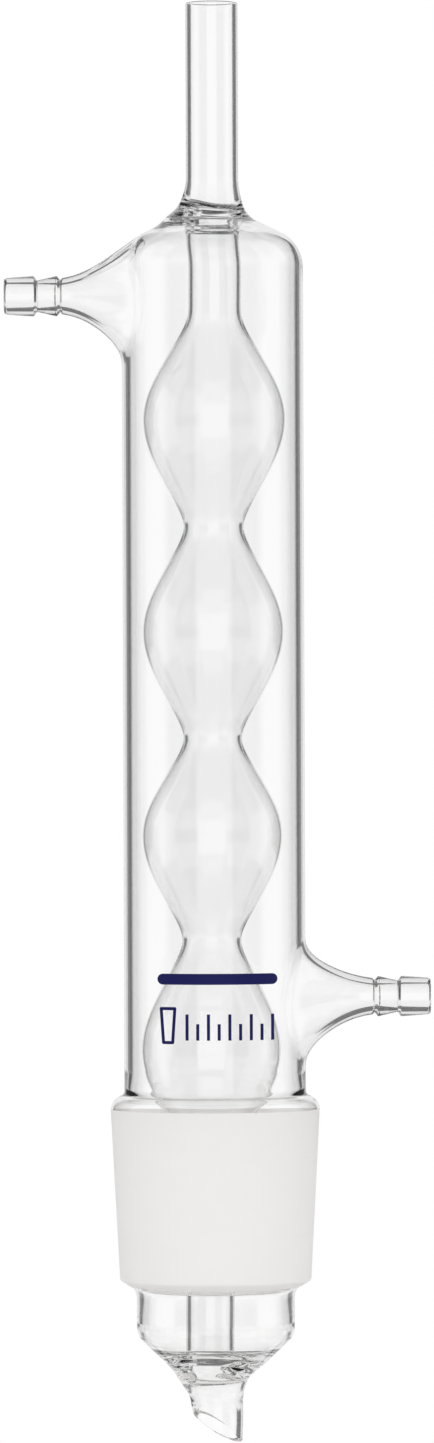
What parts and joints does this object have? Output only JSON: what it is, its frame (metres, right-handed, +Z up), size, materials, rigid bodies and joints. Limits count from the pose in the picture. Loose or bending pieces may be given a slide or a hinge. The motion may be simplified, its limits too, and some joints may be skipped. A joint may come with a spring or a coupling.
{
  "type": "allihn condenser",
  "caption": "Glass bulb condenser: jacketed inner tube blown into bulbs, barbed hose side arms, open vent tube, frosted ground cone and oblique drip tip.",
  "frame": {"origin": "on the condenser's axis, at the wide end of the ground cone", "axes": "+Z up along the axis towards the vent tube; the upper hose barb points to -X and the lower one to +X"},
  "size_m": [0.1014, 0.05, 0.3439],
  "materials": {
    "clear_glass": "clear fire-polished borosilicate glass",
    "seal_glass": "clear flame-worked ring seal, thicker and slightly uneven",
    "frosted_glass": "ground matt white",
    "navy_enamel": "fired navy enamel print, satin"
  },
  "bodies": {
    "root": {"vent_tube": "clear_glass", "top_ring_seal": "seal_glass", "jacket_tube": "clear_glass", "upper_side_arm": "clear_glass", "upper_hose_barb": "clear_glass", "lower_side_arm": "clear_glass", "lower_hose_barb": "clear_glass", "inner_tube_top": "clear_glass", "bulb_1": "clear_glass", "bulb_2": "clear_glass", "bulb_3": "clear_glass", "bulb_4": "clear_glass", "outlet_tube": "clear_glass", "joint_shoulder": "clear_glass", "ground_joint": "frosted_glass", "jacket_bowl": "clear_glass", "bottom_ring_seal": "seal_glass", "drip_tip": "clear_glass"}
  },
  "joints": []
}
